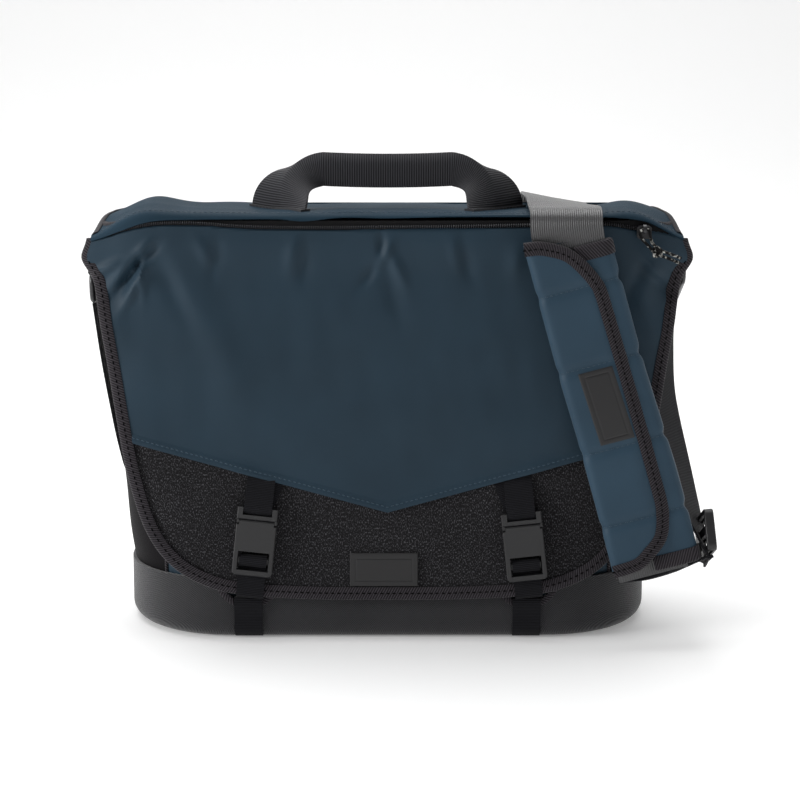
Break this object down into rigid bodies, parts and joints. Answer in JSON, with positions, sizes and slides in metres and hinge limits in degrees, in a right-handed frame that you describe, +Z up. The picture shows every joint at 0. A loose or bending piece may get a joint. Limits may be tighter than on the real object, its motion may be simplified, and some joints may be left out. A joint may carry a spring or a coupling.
{
  "type": "messenger bag",
  "caption": "Camera and laptop messenger bag with a flap, hooked buckles, a top zip, a carry handle and a padded shoulder strap on a moulded base.",
  "frame": {"origin": "middle of the base's flat underside, on the surface the bag stands on", "axes": "+X to the right as seen facing the flap, -Y out of the flap's front, +Z up"},
  "size_m": [0.4494, 0.1927, 0.3455],
  "materials": {
    "shell_cloth": "satin coated plain weave",
    "side_cloth": "matt black plain weave",
    "melange_cloth": "black and grey flecked canvas",
    "base_cloth": "coated heavy twill",
    "lining_cloth": "light grey lining",
    "board": "stiff sheet",
    "tape": "ribbed binding tape",
    "hook_loop": "hook and loop tape",
    "webbing": "black ribbed webbing",
    "hardware": "matt black acetal",
    "coil": "black coil",
    "patch": "matt moulded patch",
    "cord": "black cord with light flecks"
  },
  "bodies": {
    "bag": {"base_tub": "base_cloth", "base_board": "board", "front_panel": "shell_cloth", "back_panel": "side_cloth", "gusset_left": "side_cloth", "gusset_right": "side_cloth", "lining": "lining_cloth", "laptop_divider": "lining_cloth", "organiser_pocket": "lining_cloth", "back_pocket": "side_cloth", "loop_pad_left": "hook_loop", "loop_pad_right": "hook_loop", "base_strap_left": "webbing", "base_strap_right": "webbing", "notch_binding_left": "tape", "notch_binding_right": "tape", "side_ring_left": "hardware", "side_ring_right": "hardware", "ring_tab_left": "webbing", "ring_tab_right": "webbing", "catch_bar_left": "hardware", "catch_bar_right": "hardware", "catch_loop_left": "webbing", "catch_loop_right": "webbing", "strap_back": "webbing", "strap_right": "webbing", "strap_rear_bend": "webbing"},
    "flap_top": {"top_panel": "shell_cloth", "top_lip": "shell_cloth", "top_binding": "tape", "handle_foot_left": "webbing", "handle_foot_right": "webbing", "handle_leg_left": "webbing", "handle_leg_right": "webbing", "strap_top": "webbing"},
    "flap_front": {"flap_upper": "shell_cloth", "flap_lower": "melange_cloth", "flap_liner": "lining_cloth", "flap_binding": "tape", "flap_patch": "patch", "hook_pad_left": "hook_loop", "hook_pad_right": "hook_loop", "buckle_top_left": "hardware", "buckle_top_right": "hardware", "buckle_webbing_left": "webbing", "buckle_webbing_right": "webbing", "zip_tape": "tape", "zip_coil": "coil", "strap_front": "webbing", "strap_front_bend": "webbing", "strap_turn": "webbing"},
    "zip_slider": {"zip_slider": "hardware"},
    "zip_pull": {"pull_cord": "cord", "pull_knot": "cord"},
    "handle": {"handle_grip": "webbing"},
    "plate_left": {"buckle_plate_left": "hardware"},
    "plate_right": {"buckle_plate_right": "hardware"},
    "pad": {"pad_back": "shell_cloth", "pad_face": "shell_cloth"},
    "tri_glide": {"tri_glide": "hardware"}
  },
  "joints": [
    {"name": "flap_hinge", "type": "hinge", "parent": "bag", "child": "flap_top", "pos_m": [0, 0.0615, 0.3035], "axis": [-1, 0, 0], "range_deg": [0, 180], "deforming": ["strap_rear_bend", "catch_loop_left", "catch_loop_right", "catch_bar_left", "catch_bar_right"]},
    {"name": "flap_fold", "type": "hinge", "parent": "flap_top", "child": "flap_front", "pos_m": [0, -0.076, 0.303], "axis": [-1, 0, 0], "range_deg": [0, 90], "deforming": ["strap_front_bend", "strap_turn"]},
    {"name": "zip_slide", "type": "slide", "parent": "flap_front", "child": "zip_slider", "axis": [-1, 0, 0], "range_m": [0, 0.36]},
    {"name": "pull_swing", "type": "hinge", "parent": "zip_slider", "child": "zip_pull", "pos_m": [0.179, -0.0858, 0.2982], "axis": [-1, 0, 0], "range_deg": [0, 110]},
    {"name": "handle_swing", "type": "hinge", "parent": "flap_top", "child": "handle", "pos_m": [0, -0.025, 0.3075], "axis": [1, 0, 0], "range_deg": [-60, 60], "deforming": ["handle_leg_left", "handle_leg_right"]},
    {"name": "plate_left_swing", "type": "hinge", "parent": "flap_front", "child": "plate_left", "pos_m": [-0.09275, -0.08954, 0.08918], "axis": [-0.9943, 0.0031, 0.1062], "range_deg": [0, 100]},
    {"name": "plate_right_swing", "type": "hinge", "parent": "flap_front", "child": "plate_right", "pos_m": [0.09598, -0.08964, 0.08568], "axis": [-0.9945, -0.0031, -0.1044], "range_deg": [0, 100]},
    {"name": "pad_slide", "type": "slide", "parent": "flap_front", "child": "pad", "axis": [-0.2585, 0.024, 0.9657], "range_m": [-0.01, 0.008]},
    {"name": "glide_slide", "type": "slide", "parent": "bag", "child": "tri_glide", "axis": [-0.0814, 0.3948, 0.9152], "range_m": [0, 0.12]}
  ]
}
